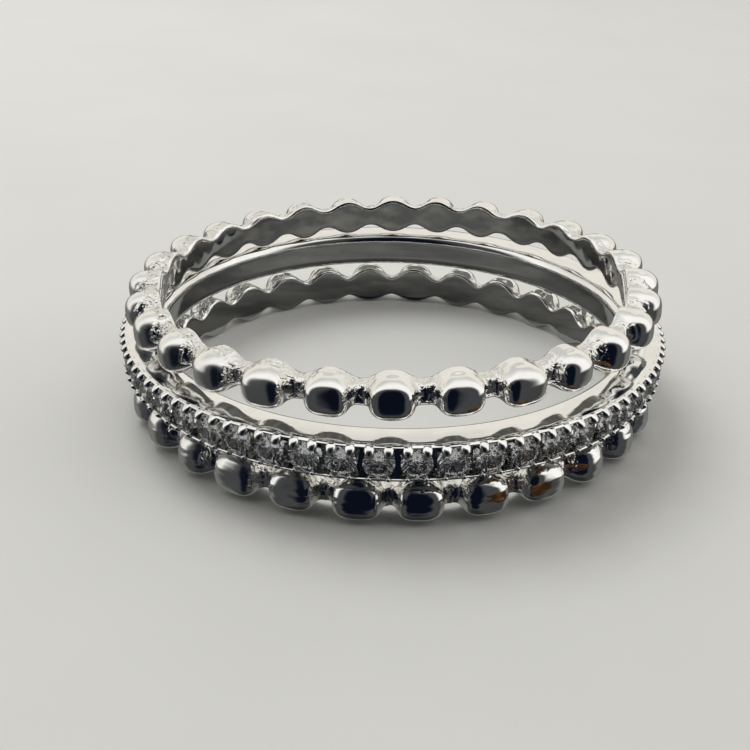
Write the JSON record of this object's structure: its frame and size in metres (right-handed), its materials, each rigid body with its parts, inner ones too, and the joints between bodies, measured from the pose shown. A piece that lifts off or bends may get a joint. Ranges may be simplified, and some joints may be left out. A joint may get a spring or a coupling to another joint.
{
  "type": "spinner ring",
  "caption": "Finger ring of bands that spin on each other: a band set all round with small clear stones, between beaded bands of cast silver.",
  "frame": {"origin": "on the ring's axis, in the plane that its lowest beads stand on", "axes": "+Z along the ring's axis, upwards as it lies on its side; -Y towards the viewer"},
  "size_m": [0.0206, 0.0206, 0.0052],
  "materials": {
    "polished_silver": "high polish",
    "set_silver": "high polish, set with clear stones",
    "clear_stone": "cut and polished"
  },
  "bodies": {
    "stone_band": {"stone_set_band": "set_silver"},
    "lower_band": {"lower_beaded_band": "polished_silver"},
    "upper_band": {"upper_beaded_band": "polished_silver"}
  },
  "joints": [
    {"name": "lower_spin", "type": "hinge", "parent": "stone_band", "child": "lower_band", "pos_m": [0, 0, 0], "axis": [0, 0, 1], "continuous": true},
    {"name": "upper_spin", "type": "hinge", "parent": "stone_band", "child": "upper_band", "pos_m": [0, 0, 0.00349], "axis": [-0.0236, 0.0201, 0.9995], "continuous": true}
  ]
}
